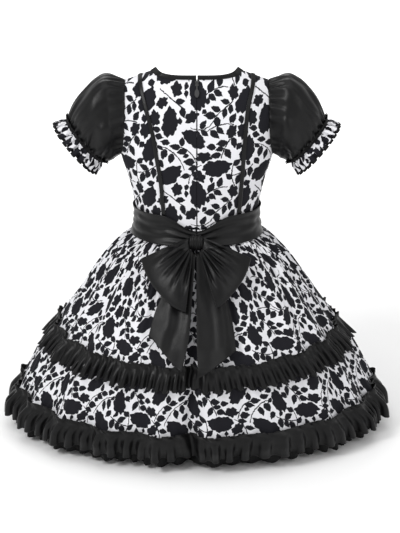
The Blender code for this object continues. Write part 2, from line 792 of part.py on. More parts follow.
def make_zip(metal):
    """The slider sits on the seam below the binding, and its tab hangs from a pin in two lugs."""
    slope = math.radians(ZIP_SLOPE)
    outward = Vector((0, math.sin(slope), math.cos(slope)))
    downward = Vector((0, math.cos(slope), -math.sin(slope)))
    seat = moved_out(0.0, ZIP_Z, 1, 0.0)
    pin = seat + outward * (ZIP_SEAT + SLIDER_THICK + PIN_RISE) - downward * PIN_BACK

    body = (SLIDER_WIDTH, SLIDER_LENGTH, SLIDER_THICK)
    under = -PIN_RISE - SLIDER_THICK / 2
    slider = block("zip_slider", body, (0, SLIDER_SHIFT, under), metal, parts)
    for label, hand in (("left", 1), ("right", -1)):
        place = (hand * (LUG_INSIDE + LUG_THICK / 2), 0, LUG_Z)
        lug = block(f"lug_{label}", (LUG_THICK, LUG_LENGTH, LUG_HEIGHT), place, metal, cutters)
        combine(slider, lug, "UNION")
    bar = rod("zip_pin", PIN_RADIUS, 2 * LUG_INSIDE + LUG_THICK, (0, 0, 0), metal, cutters)
    combine(slider, bar, "UNION")

    tab = rod("zip_pull", EYE_RADIUS, EYE_WIDTH, (0, 0, 0), metal, parts)
    neck_length = TAB_LENGTH - TAB_OVAL
    neck_size = (TAB_NECK, neck_length, TAB_THICK)
    neck_place = (0, neck_length / 2 + EYE_BORE - TAB_THICK / 4, 0)
    combine(tab, block("tab_neck", neck_size, neck_place, metal, cutters), "UNION")
    bpy.ops.mesh.primitive_cylinder_add(vertices=20, radius=0.5, depth=1)
    oval = bpy.context.object
    oval.location = Vector((0, TAB_LENGTH - TAB_OVAL / 2, 0)) * MM
    settle(oval, "tab_oval", Vector((TAB_WIDTH, TAB_OVAL, TAB_OVAL_THICK)) * MM, metal, cutters)
    combine(tab, oval, "UNION")
    bore = rod("eye_bore", EYE_BORE, 2 * EYE_WIDTH, (0, 0, 0), metal, cutters)
    combine(tab, bore, "DIFFERENCE")

    holder = bpy.data.objects.new("zip_place", None)
    swing = bpy.data.objects.new("tab_place", None)
    for frame, tilt in ((holder, 0.0), (swing, TAB_TILT)):
        parts.objects.link(frame)
        frame.location = pin * MM
        frame.rotation_euler = (-slope - math.radians(tilt), 0, 0)
    for thing in [slider, *cutters.objects]:
        thing.parent = swing if thing.name.startswith(("tab", "eye")) else holder
    tab.parent = swing


def make_dress():
    print_cloth = make_material("printed_cotton", (0.82, 0.82, 0.85), 0.8)
    satin = make_material("black_satin", (0.012, 0.012, 0.014), 0.42)
    dark = make_material("black_trim", (0.02, 0.02, 0.022), 0.6)
    metal = make_material("black_enamel", (0.015, 0.015, 0.016), 0.3, 0.4)
    make_bodice(print_cloth)
    make_binding(satin)
    make_ribbons(satin)
    make_tiers(print_cloth)
    make_ruffle("ruffle_upper", satin, UPPER_RUFFLE, UPPER_RUFFLE_WAVES, THIN_WALL)
    make_ruffle("ruffle_lower", satin, LOWER_RUFFLE, LOWER_RUFFLE_WAVES, THIN_WALL)
    make_ruffle("hem_under_frill", dark, UNDER_FRILL, UNDER_FRILL_WAVES, THIN_WALL)
    make_sleeves(satin, print_cloth)
    make_sash(satin)
    make_bow(satin)
    make_zip(metal)


clear_scene()
parts = new_collection(NAME)
cutters = new_collection("zip_cutters")
make_dress()
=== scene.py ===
"""Looks of the folk dress: its cloth, print, lights and camera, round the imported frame.

The front faces -Y and the wearer's left is +X. Tables are in millimetres and degrees, and repeat
the sizes of the dress's solids. Finer folds, gathers and ruffle waves are added here.
"""

import math
from collections import namedtuple

import bpy
import numpy as np
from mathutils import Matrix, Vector


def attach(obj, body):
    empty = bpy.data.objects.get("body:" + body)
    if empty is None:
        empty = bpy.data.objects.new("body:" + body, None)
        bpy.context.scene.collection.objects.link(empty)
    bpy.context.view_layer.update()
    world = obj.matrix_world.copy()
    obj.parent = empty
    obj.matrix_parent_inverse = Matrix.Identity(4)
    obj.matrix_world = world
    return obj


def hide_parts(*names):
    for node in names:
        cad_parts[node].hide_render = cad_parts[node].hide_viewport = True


MM = 0.001
CENTRE_Y = 4.0
GAP = 0.3
SHOULDER_SEAM = 0.5
NECK_HALF, NECK_TOP_Z = 79.5, -5.5
BACK_NECK_Z, FRONT_NECK_Z = -14.0, -68.0
SHOULDER_HALF, SHOULDER_Z = 124.4, -22.0
UNDERARM_Z, WAIST_Z = -152.0, -270.0
ARMHOLE_HALF_HEIGHT, ARMHOLE_TUCK = 65.0, 0.4
SLEEVE_CAP, SLEEVE_Y = 0.2, 2.0
SKIRT_FOLDS = 20
VALLEY_TURN, VALLEY_SPREAD = 88.0, 2.6
TURN_SHIFTS = ((3, 1.9, 0.6), (5, 1.1, 2.0))
FOLD_PHASE = math.pi - math.radians(SKIRT_FOLDS * (VALLEY_TURN + 0.4))
CLOTH, SATIN_CLOTH = 0.6, 0.7
BACK_U, FRONT_U = 0.02, 0.4
ZIP_GAP = 1.0
BINDING_TOP_HALF, BINDING_HIGH, BINDING_LEANS_IN = 71.0, 6.0, 3.0


def table(columns, rows):
    row_type = namedtuple("Row", columns)
    return sorted(row_type(*row) for row in rows)


TORSO = table(
    "z half back front square",
    [
        (-272, 107.5, 80, 84, 2.0),
        (-256, 107.8, 79, 84, 2.0),
        (-243, 110.0, 78, 86, 2.05),
        (-224, 114.0, 78, 90, 2.2),
        (-206, 118.0, 78, 94, 2.3),
        (-187, 123.0, 78, 97, 2.4),
        (-152, 134.0, 77, 98, 2.5),
        (-125, 139.0, 77, 98, 2.6),
        (-100, 142.0, 77, 98, 2.6),
        (20, 142.0, 77, 98, 2.6),
    ],
)
SHOULDER_FALL = table(
    "drop back front",
    [
        (0, 0.00, 0.00),
        (8, 0.29, 0.17),
        (25, 0.53, 0.36),
        (55, 0.74, 0.60),
        (95, 0.88, 0.82),
        (145, 0.98, 0.98),
        (200, 1.00, 1.00),
        (300, 1.00, 1.00),
    ],
)
ARMHOLE = table(
    "z half",
    [
        (-152, 134.0),
        (-145, 131.0),
        (-125, 127.5),
        (-93, 125.3),
        (-50, 124.5),
        (-22, 124.4),
        (20, 124.4),
    ],
)
SKIRT = table(
    "z side back front dip fold",
    [
        (-660, 336, 230, 230, 1, 5.0),
        (-638, 334, 232, 232, 1, 5.5),
        (-612, 329, 242, 240, 2, 5.5),
        (-591, 320, 252, 247, 3, 5.5),
        (-551, 300, 246, 241, 3, 5.0),
        (-515, 280, 238, 232, 4, 4.8),
        (-490, 262, 234, 226, 4, 4.6),
        (-474, 251, 230, 221, 5, 4.6),
        (-443, 229, 205, 198, 4, 5.0),
        (-414, 209, 182, 177, 3, 4.8),
        (-385, 190, 161, 157, 3, 4.5),
        (-357, 171, 142, 139, 2, 4.0),
        (-337, 156, 127, 125, 1, 3.5),
        (-318, 139, 111, 111, 0, 2.5),
        (-303, 122, 96, 98, 0, 1.5),
        (-297, 113, 89, 91, 0, 0.8),
        (-284, 109, 83, 86, 0, 0.4),
        (-270, 107.5, 80, 84, 0, 0.3),
    ],
)
VALLEY = table("z depth", [(-660, 15.0), (-474, 12.0), (-380, 6.0), (-300, 0.0), (-250, 0.0)])

# Ruffles: how far each line of the strip stands off the skirt, how deep its waves are, and how
# much narrower or wider it is along the ring where it folds over.
UPPER_RUFFLE = table(
    "z off wave over",
    [
        (-505, 7.0, 4.6, 1.5),
        (-490, 6.6, 4.0, 1.2),
        (-476, 4.6, 1.6, 0.5),
        (-472, 4.0, 0.9, 0.2),
        (-469, 4.6, 1.9, 0.5),
        (-461, 7.6, 4.0, 1.4),
    ],
)
LOWER_RUFFLE = table(
    "z off wave over",
    [
        (-638, 9.5, 5.8, 2.6),
        (-616, 11.0, 5.2, 2.0),
        (-597, 6.4, 2.4, 0.8),
        (-591, 4.6, 1.1, 0.2),
        (-588, 5.2, 2.2, 0.6),
        (-578, 8.4, 4.4, 1.6),
    ],
)
UNDER_FRILL = table(
    "z off wave over", [(-653, -4.0, 3.6, 1.2), (-620, -3.0, 2.2, 0.6), (-595, -0.4, 0.3, 0.0)]
)
SASH = table(
    "z half back front",
    [
        (-303, 121.5, 100.0, 102.0),
        (-296, 117.0, 93.5, 95.5),
        (-285, 114.5, 88.5, 90.5),
        (-271, 112.0, 84.5, 88.8),
        (-258, 112.0, 84.0, 89.0),
        (-247, 114.0, 84.8, 90.5),
    ],
)
SASH_TOP_Z, SASH_BOTTOM_Z = -247.0, -298.0
SASH_NARROWS_AT, SASH_NARROW_TOP, SASH_NARROW_BOTTOM = 62.0, 25.0, -5.0
SLEEVE = table(
    "along middle_x middle_z high deep lean",
    [
        (0.00, 129.7, -87.0, 65.0, 37.0, 4.2),
        (0.14, 142.5, -86.5, 71.5, 51.0, 2.0),
        (0.30, 153.5, -87.5, 75.0, 59.0, 5.0),
        (0.50, 166.5, -94.0, 72.0, 61.0, 10.7),
        (0.68, 178.5, -104.8, 65.5, 57.0, 18.0),
        (0.85, 189.0, -118.0, 57.5, 49.0, 28.5),
        (1.00, 196.2, -132.0, 47.5, 38.0, 40.0),
    ],
)
CUFF = table(
    "along spread wave",
    [(-5.0, 7.2, 2.6), (-1.5, 3.0, 1.6), (1.6, 1.0, 0.8), (8.0, 4.2, 3.0), (23.5, 6.6, 4.4)],
)
RIBBON = table(
    "z left_back right_back front",
    [
        (-246, 57.5, 72.5, 66.0),
        (-188, 62.0, 77.0, 73.0),
        (-147, 68.5, 80.0, 79.0),
        (-105, 75.5, 83.0, 86.0),
        (-64, 86.5, 87.0, 92.0),
        (-14, 98.0, 97.0, 97.5),
        (20, 98.0, 97.0, 97.5),
    ],
)
RIBBON_SETTLES, RIBBON_WIDTH = 40.0, 7.0
KNOT_X, KNOT_Z = 1.5, -293.0
SLOPE_DROP, SLOPE_OUT, SLOPE_UP = 0.82, 0.83, 0.5
KNOT_HALF_WIDTH, KNOT_HALF_HEIGHT, KNOT_HALF_DEPTH, KNOT_LIFT = 11.0, 14.0, 8.5, 12.0
LOOP = table("angle reach", [(15, 101), (36, 107), (55, 113), (72, 122), (84, 126)])
LOOP_SPAN = {1: (22.5, 82.0), -1: (22.0, 73.0)}
LOOP_ROOT_X, LOOP_ROOT_DOWN, LOOP_ROOT_LIFT = 11.6, 17.4, 12.5
LOOP_ROOT_TURN = (-18.0, 76.0)
LOOP_PUFF, LOOP_LIFT, LOOP_LEAF_GAP, LOOP_RISES_BY = 8.0, 23.0, 2.6, 1.6
TAILS = {
    1: table(
        "along inner_x inner_down outer_x outer_down",
        [
            (0.0, 0.6, 17, 13, 16),
            (0.4, 6, 90, 54, 84),
            (0.72, 11, 162, 72, 130),
            (1.0, 25, 228, 81, 166),
        ],
    ),
    -1: table(
        "along inner_x inner_down outer_x outer_down",
        [
            (0.0, -0.6, 17, -11, 16),
            (0.4, -0.6, 90, -52, 96),
            (0.72, -1, 165, -64, 148),
            (1.0, -4, 240, -69, 190),
        ],
    ),
}
TAIL_LIFT = table(
    "down lift",
    [
        (0, 3.2),
        (40, 5.2),
        (70, 8.8),
        (130, 10.5),
        (185, 12.0),
        (212, 16.0),
        (226, 21.0),
        (250, 23.0),
    ],
)


def curve(rows, column, key):
    """Reads a column between the rows, on a curve that keeps to their rises and falls."""
    at = np.array([row[0] for row in rows], float)
    value = np.array([getattr(row, column) for row in rows], float)
    secant = np.diff(value) / np.diff(at)
    before, after = secant[:-1], secant[1:]
    product = before * after
    total = np.where(product > 0, before + after, 1.0)
    inner = np.where(product > 0, 2 * product / total, 0.0)
    slope = np.concatenate([secant[:1], inner, secant[-1:]])
    key = np.clip(np.asarray(key, float), at[0], at[-1])
    low = np.clip(np.searchsorted(at, key, side="right") - 1, 0, len(at) - 2)
    width = at[low + 1] - at[low]
    t = (key - at[low]) / width
    rise = t * t * (3 - 2 * t)
    into = t * (1 - t) ** 2 * width * slope[low]
    out_of = t * t * (1 - t) * width * slope[low + 1]
    return value[low] * (1 - rise) + value[low + 1] * rise + into - out_of


def ease(t):
    t = np.clip(t, 0.0, 1.0)
    return t * t * (3 - 2 * t)


def lattice(u, v, cells_u, cells_v, seed):
    """Smooth unevenness between -1 and 1, which joins up where u comes round from 1 to 0."""
    values = np.random.RandomState(seed).uniform(-1, 1, (cells_v + 2, cells_u))
    u, v = np.asarray(u) % 1.0 * cells_u, np.clip(v, 0, 1) * cells_v
    i, j = np.floor(u).astype(int), np.minimum(np.floor(v).astype(int), cells_v)
    a, b = ease(u - i), ease(v - j)
    low = values[j, i % cells_u] * (1 - a) + values[j, (i + 1) % cells_u] * a
    high = values[j + 1, i % cells_u] * (1 - a) + values[j + 1, (i + 1) % cells_u] * a
    return low * (1 - b) + high * b


def normals(points):
    along_u, along_v = np.gradient(points, axis=1), np.gradient(points, axis=0)
    cross = np.cross(along_u, along_v)
    return cross / np.maximum(np.linalg.norm(cross, axis=2, keepdims=True), 1e-9)


def stack(*parts):
    return np.stack(np.broadcast_arrays(*parts), axis=-1).astype(float)


# Each piece's cut in metres, and how much of that rectangle it fills. Chest, waist and seam lengths
# give the widths. The upper ruffle is cut 1.9 times the round it is sewn to, the hem ruffle 1.7 times
# and the under-frill 1.2 times. The ribbons are 7 mm wide, the cuffs' bindings 4 mm and their headers
# 7 mm, each out of a strip of 10 mm.
CUTS = {
    "bodice_front": (0.38, 0.27, 0.68),
    "bodice_back_left": (0.19, 0.27, 0.75),
    "bodice_back_right": (0.19, 0.27, 0.75),
    "neck_binding": (0.46, 0.012, 1.0),
    "ribbon_left": (0.54, 0.01, 0.7),
    "ribbon_right": (0.54, 0.01, 0.7),
    "skirt_upper_front": (0.80, 0.26, 0.81),
    "skirt_upper_back": (0.80, 0.26, 0.81),
    "skirt_lower_front": (0.95, 0.135, 0.95),
    "skirt_lower_back": (0.95, 0.135, 0.95),
    "ruffle_upper": (2.9, 0.046, 1.0),
    "ruffle_lower": (3.1, 0.062, 1.0),
    "hem_under_frill": (2.2, 0.058, 1.0),
    "sleeve_left": (0.43, 0.15, 0.77),
    "sleeve_right": (0.43, 0.15, 0.77),
    "cuff_ruffle_left": (0.6, 0.024, 1.0),
    "cuff_ruffle_right": (0.6, 0.024, 1.0),
    "cuff_binding_left": (0.7, 0.01, 0.4),
    "cuff_binding_right": (0.7, 0.01, 0.4),
    "cuff_header_left": (0.41, 0.01, 0.72),
    "cuff_header_right": (0.41, 0.01, 0.72),
    "sash_front": (0.335, 0.052, 1.0),
    "sash_back_left": (0.166, 0.052, 0.86),
    "sash_back_right": (0.166, 0.052, 0.86),
    "bow_knot": (0.075, 0.024, 1.0),
    "bow_loop_left": (0.12, 0.225, 0.8),
    "bow_loop_right": (0.105, 0.22, 0.8),
    "bow_tail_left": (0.06, 0.23, 0.75),
    "bow_tail_right": (0.06, 0.24, 0.75),
}


def cloth(name, points, flat, finish, stands_for, wall=CLOTH, closed=False):
    """A thin shell through a grid of points in mm. flat holds each point's place on the cloth."""
    rows, columns = points.shape[:2]
    width = columns - 1 if closed else columns
    corners = points[:, :width].reshape(-1, 3) * MM
    j, i = np.meshgrid(np.arange(rows - 1), np.arange(columns - 1), indexing="ij")
    j, i = j.ravel(), i.ravel()
    after = (i + 1) % width
    low, high = j * width, (j + 1) * width
    faces = np.stack([low + i, low + after, high + after, high + i], axis=1)
    name = name + "_cloth"
    mesh = bpy.data.meshes.new(name)
    mesh.vertices.add(len(corners))
    mesh.vertices.foreach_set("co", corners.ravel())
    mesh.loops.add(faces.size)
    mesh.loops.foreach_set("vertex_index", faces.ravel().astype(np.int32))
    mesh.polygons.add(len(faces))
    mesh.polygons.foreach_set("loop_start", np.arange(0, faces.size, 4, dtype=np.int32))
    mesh.update(calc_edges=True)
    mesh.polygons.foreach_set("use_smooth", np.ones(len(faces), bool))
    layer = mesh.uv_layers.new(name="cloth")
    corner_flat = np.stack([flat[j, i], flat[j, i + 1], flat[j + 1, i + 1], flat[j + 1, i]], axis=1)
    layer.data.foreach_set("uv", corner_flat.astype(np.float32).ravel())
    mesh.materials.append(finish)
    mesh.validate()
    made = bpy.data.objects.new(name, mesh)
    bpy.context.scene.collection.objects.link(made)
    thick = made.modifiers.new("wall", "SOLIDIFY")
    thick.thickness = wall * MM
    thick.offset = 0
    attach(made, "dress")
    if stands_for:
        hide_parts(*stands_for)
    width, length, share = CUTS[name.removesuffix("_cloth")]
    return made


def plain_flat(points):
    """Cloth coordinates in metres, measured along the middle row and the middle column."""
    rows, columns = points.shape[:2]
    u = np.linalg.norm(np.diff(points[rows // 2], axis=0), axis=1).cumsum() * MM
    v = np.linalg.norm(np.diff(points[:, columns // 2], axis=0), axis=1).cumsum() * MM
    u, v = np.concatenate([[0], u]), np.concatenate([[0], v])
    return stack(*np.meshgrid(u, v))


# The bodice.
def shoulder_line(x):
    fall = (SHOULDER_Z - NECK_TOP_Z) / (SHOULDER_HALF - NECK_HALF)
    return np.minimum(0.0, NECK_TOP_Z + fall * (np.abs(x) - NECK_HALF))


def torso_y(x, z, side):
    column = "back" if side > 0 else "front"
    depth = curve(TORSO, column, z) * curve(SHOULDER_FALL, column, shoulder_line(x) - z)
    share = np.minimum(np.abs(x) / curve(TORSO, "half", z), 1.0)
    power = curve(TORSO, "square", z)
    return CENTRE_Y + side * depth * (1 - share**power) ** (1 / power)


def panel_edge(z):
    side_seam, armhole = curve(TORSO, "half", z), curve(ARMHOLE, "half", z)
    return np.where(z < UNDERARM_Z, side_seam, armhole)


def neck_edge(x, side):
    share = np.minimum(np.abs(x) / NECK_HALF, 1.0)
    low = BACK_NECK_Z if side > 0 else FRONT_NECK_Z
    return low + (NECK_TOP_Z - low) * (share**3 if side < 0 else share**4)


def moved_out(x, z, side, out):
    """The bodice's face at x and z, moved out along its own normal, and kept off the other face."""
    small = 0.5
    y = torso_y(x, z, side)
    lean_x = (torso_y(x + small, z, side) - torso_y(x - small, z, side)) / (2 * small)
    lean_z = (torso_y(x, z + small, side) - torso_y(x, z - small, side)) / (2 * small)
    normal = stack(-side * lean_x, side, -side * lean_z)
    normal /= np.linalg.norm(normal, axis=-1, keepdims=True)
    y = CENTRE_Y + side * np.maximum(np.abs(y - CENTRE_Y), SHOULDER_SEAM)
    return stack(x, y, z) + normal * np.asarray(out)[..., None]


# Soft creases of the bodice: where they lie, which way they run, and their size.
CREASES = table(
    "side x z turn long wide deep",
    [
        (1, 108, -168, 38, 34, 6, -1.6),
        (1, -110, -166, 140, 36, 6, -1.7),
        (1, 96, -188, 48, 30, 7, 1.2),
        (1, -98, -190, 130, 28, 7, 1.2),
        (1, 100, -232, 74, 22, 5, -1.3),
        (1, -99, -230, 104, 24, 5, -1.4),
        (1, 82, -236, 84, 20, 5, 1.1),
        (1, -84, -238, 97, 18, 5, 1.0),
        (1, 34, -236, 88, 26, 7, -0.9),
        (1, -30, -232, 93, 28, 7, -1.0),
        (1, 22, -150, 86, 44, 9, 0.8),
        (1, -24, -120, 95, 40, 9, -0.8),
        (1, 112, -70, 60, 26, 5, -1.2),
        (1, -113, -74, 118, 28, 5, -1.2),
        (1, 60, -64, 28, 34, 8, 0.9),
        (1, -58, -58, 150, 32, 8, 0.9),
        (-1, 108, -168, 36, 36, 6, -1.7),
        (-1, -109, -170, 142, 34, 6, -1.6),
        (-1, 98, -192, 50, 30, 7, 1.2),
        (-1, -96, -188, 132, 30, 7, 1.2),
        (-1, 98, -231, 76, 22, 5, -1.4),
        (-1, -100, -233, 102, 22, 5, -1.3),
        (-1, 60, -238, 86, 22, 6, -1.0),
        (-1, -56, -236, 94, 24, 6, -1.0),
        (-1, 10, -240, 91, 24, 7, 0.9),
        (-1, 44, -130, 70, 40, 9, 0.9),
        (-1, -46, -126, 112, 42, 9, 0.8),
        (-1, 112, -72, 62, 26, 5, -1.2),
        (-1, -111, -76, 116, 28, 5, -1.2),
    ],
)


def crease_depth(x, z, side):
    total = np.zeros_like(x)
    for row in CREASES:
        if row.side != side:
            continue
        angle = math.radians(row.turn)
        along = (x - row.x) * math.cos(angle) + (z - row.z) * math.sin(angle)
        off = (z - row.z) * math.cos(angle) - (x - row.x) * math.sin(angle)
        total += row.deep * np.exp(-((along / row.long) ** 2) - (off / row.wide) ** 2)
    return total


def bodice(name, print_cloth, start, end, columns, side):
    share, rise = np.meshgrid(np.linspace(start, end, columns), np.linspace(0, 1, 76))
    x = share * SHOULDER_HALF
    top = np.where(np.abs(x) < NECK_HALF, neck_edge(x, side), shoulder_line(x))
    z = WAIST_Z + GAP + (top - WAIST_Z - GAP) * rise
    x = share * panel_edge(z)
    if side > 0:
        hand = 1 if start >= 0 else -1
        x = np.where(x * hand < GAP, GAP * hand, x)
    fade = ease((1 - np.abs(share)) * 12) * ease((1 - rise) * 12)
    soft = 0.5 * lattice(share * 0.5 + 0.5, rise, 9, 9, 5 + side) * fade
    puckers = 0.0
    if side > 0:
        puckers = 0.5 * np.sin(z * 0.42 + 2 * lattice(rise, rise, 9, 1, 3)) * np.exp(-np.abs(x) / 5)
    points = moved_out(x, z, side, crease_depth(x, z, side) * fade + soft + puckers)
    step = np.linalg.norm(np.diff(points, axis=1), axis=2)
    run = np.concatenate([np.zeros((len(points), 1)), step.cumsum(axis=1)], axis=1)
    centre = np.abs(share[0]).argmin()
    u = (run - run[:, centre : centre + 1]) * MM + (BACK_U if side > 0 else FRONT_U)
    flat = stack(u, z * MM)
    return cloth(name, points, flat, print_cloth, [name])


def make_bodice(print_cloth):
    bodice("bodice_front", print_cloth, start=-1, end=1, columns=111, side=-1)
    bodice("bodice_back_left", print_cloth, start=0, end=1, columns=58, side=1)
    bodice("bodice_back_right", print_cloth, start=-1, end=0, columns=58, side=1)


def make_binding(satin):
    """A rounded strip that carries on past the cut neckline, open at the zip."""
    reach = np.linspace(0, 1, 60)
    x_back = ZIP_GAP + (NECK_HALF - ZIP_GAP) * np.sin(reach * math.pi / 2)
    x_front = NECK_HALF * np.sin(reach[::-1] * math.pi / 2)
    half = [(x, 1) for x in x_back] + [(x, -1) for x in x_front[1:]]
    whole = half + [(-x, side) for x, side in half[:-1][::-1]]
    x = np.array([row[0] for row in whole])
    back = np.array([row[1] for row in whole]) > 0
    rise = np.linspace(-0.12, 1, 9)[:, None]
    share = np.abs(x) / NECK_HALF
    foot = np.where(back, neck_edge(x, 1), neck_edge(x, -1)) + GAP
    depth = np.where(back, torso_y(x, foot, 1) - CENTRE_Y, CENTRE_Y - torso_y(x, foot, -1))
    depth = depth - BINDING_LEANS_IN * rise * (1 - share**2)
    bulge = 1.3 * np.sqrt(np.clip(1 - (2 * rise - 0.9) ** 2, 0, 1))
    in_by = (NECK_HALF - BINDING_TOP_HALF) * rise * share**2
    y = CENTRE_Y + np.where(back, 1, -1) * (np.where(share > 0.999, 0, depth) + bulge * (1 - share**8))
    points = stack(x - np.sign(x) * in_by, y, foot + BINDING_HIGH * rise)
    cloth("neck_binding", points, plain_flat(points), satin, ["neck_binding"], 1.6)


def make_ribbons(satin):
    drops = np.concatenate([np.linspace(237, 12, 60), np.linspace(11, 0.6, 10)])
    across = np.linspace(-1, 1, 7)[:, None]
    ridge = shoulder_line(RIBBON[-1].front)
    for label, hand, column in (("left", 1, "left_back"), ("right", -1, "right_back")):
        pieces = []
        for side, order in ((1, drops), (-1, drops[::-1])):
            middle = curve(RIBBON, column if side > 0 else "front", ridge - order)
            x = middle + across * RIBBON_WIDTH / 2
            share = np.minimum(order / RIBBON_SETTLES, 1.0)
            z = shoulder_line(x) * (1 - share) + ridge * share - order
            lift = 1.7 + 0.35 * (1 - across**4) + 0.15 * np.sin(order * 0.9) * np.abs(across)
            pieces.append(moved_out(x, z, side, lift))
        points = np.concatenate(pieces, axis=1)
        points[..., 0] *= hand
        name = f"ribbon_{label}"
        cloth(name, points, plain_flat(points), satin, [name], 0.8)


# The skirt.
def fold_turn(turn):
    angle = np.radians(turn)
    return turn + sum(size * np.sin(count * angle + phase) for count, size, phase in TURN_SHIFTS)


def ring(turn, z, off=0.0, over=0.0):
    """A point of the skirt's wall, moved out by off and along the ring by over."""
    place = np.radians(fold_turn(turn))
    side = curve(SKIRT, "side", z)
    depth = np.where(np.sin(place) > 0, curve(SKIRT, "back", z), curve(SKIRT, "front", z))
    normal = stack(np.cos(place) / side, np.sin(place) / depth, 0)
    normal /= np.linalg.norm(normal, axis=-1, keepdims=True)
    along = stack(-normal[..., 1], normal[..., 0], 0)
    uneven = 1 + 0.35 * np.sin(2 * place + 1) * np.sin(4 * place)
    phase = np.radians(SKIRT_FOLDS * turn) + FOLD_PHASE
    fold = np.cos(phase) + 0.22 * np.cos(2 * phase + 0.7)
    out = curve(SKIRT, "fold", z) * uneven * fold
    apart = (np.degrees(place) % 360 - VALLEY_TURN) / VALLEY_SPREAD
    out = out - curve(VALLEY, "depth", z) * np.exp(-apart * apart) + off
    low = curve(SKIRT, "dip", z) * np.maximum(np.sin(place), 0.0) ** 2
    base = stack(side * np.cos(place), CENTRE_Y + depth * np.sin(place), z - low)
    return base + normal * out[..., None] + along * np.asarray(over)[..., None]


# The tiers' heights, and their gathers: how deep they are by height, and how much cloth they take in.
UPPER_TIER_Z, LOWER_TIER_Z = (-474, -270.3), (-594, -475.8)
UPPER_GATHERS = table(
    "z deep taken",
    [
        (-474, 0.4, 0.0),
        (-430, 0.6, 0.05),
        (-380, 1.1, 0.12),
        (-335, 1.9, 0.22),
        (-300, 1.9, 0.3),
        (-270, 0.8, 0.3),
    ],
)
LOWER_GATHERS = table(
    "z deep taken", [(-594, 0.4, 0.0), (-550, 0.7, 0.04), (-515, 1.2, 0.12), (-474, 1.7, 0.2)]
)


def tier(name, print_cloth, start, heights, gathers, columns, count, width, seed):
    turn, z = np.meshgrid(np.linspace(start, start + 180, columns), heights)
    rise = (z - heights[0]) / (heights[-1] - heights[0])
    wander = 1.6 * lattice(turn / 360, rise, 34, 3, seed)
    phase = np.radians(count * turn) + wander
    swell = 1 + 0.45 * lattice(turn / 360, rise, 46, 2, seed + 1)
    deep = curve(gathers, "deep", z) * swell
    taken = curve(gathers, "taken", z)
    off = deep * (np.cos(phase) + 0.3 * np.cos(2 * phase + 1.0)) - 0.3
    off = off + 0.8 * lattice(turn / 360, rise, 60, 6, seed + 2)
    points = ring(turn, z, off)
    u = width * (turn / 360 - taken * np.sin(phase) / (2 * math.pi * count))
    down = np.linalg.norm(np.diff(points[:, columns // 2], axis=0), axis=1).cumsum() * MM
    v = np.broadcast_to(np.concatenate([[0], down])[:, None], u.shape)
    return cloth(name, points, stack(u, v), print_cloth, [name])


def make_tiers(skirt_cloth):
    upper, lower = np.linspace(*UPPER_TIER_Z, 80), np.linspace(*LOWER_TIER_Z, 50)
    upper_cut = {"gathers": UPPER_GATHERS, "columns": 300, "count": 84, "width": 1.6, "seed": 21}
    lower_cut = {"gathers": LOWER_GATHERS, "columns": 330, "count": 110, "width": 2.05, "seed": 31}
    for label, start in (("back", 0), ("front", 180)):
        tier(f"skirt_upper_{label}", skirt_cloth, start, upper, **upper_cut)
        tier(f"skirt_lower_{label}", skirt_cloth, start, lower, **lower_cut)


# The share of a ruffle's height at which its header starts.
HEADER_FROM = 0.78


def ruffle(name, finish, rows, waves, columns, count, seed, wall=SATIN_CLOTH):
    """A gathered strip: waves deepen from the gather line, and fold over a little."""
    turn, z = np.meshgrid(np.linspace(0, 360, columns), np.linspace(rows[0].z, rows[-1].z, count))
    rise = (z - rows[0].z) / (rows[-1].z - rows[0].z)
    wander = 2.4 * lattice(turn / 360, 0.3 * rise, waves // 3, 2, seed)
    header = ease((rise - HEADER_FROM) / (1 - HEADER_FROM))
    phase = np.radians(waves * turn) + wander + 0.5 * rise + 1.8 * header
    swell = 1 + 0.4 * lattice(turn / 360, rise, waves * 2 // 3, 2, seed + 1)
    wave = curve(rows, "wave", z) * swell
    over = curve(rows, "over", z) * swell * np.sin(2 * phase)
    shape = np.cos(phase) + 0.18 * np.cos(3 * phase + 0.4)
    hang = z - (0.28 + 0.3 * header) * wave * (1 - np.cos(phase)) * (2 * rise - 1)
    points = ring(turn, hang, curve(rows, "off", z) + wave * shape, over)
    flat = stack(turn / 360 * waves * 0.025, rise * 0.06)
    return cloth(name, points, flat, finish, [name], wall, closed=True)


# The sleeves.
SLEEVE_GATHERS, CUFF_WAVES, CUFF_LONG = 22, 24, 23.0


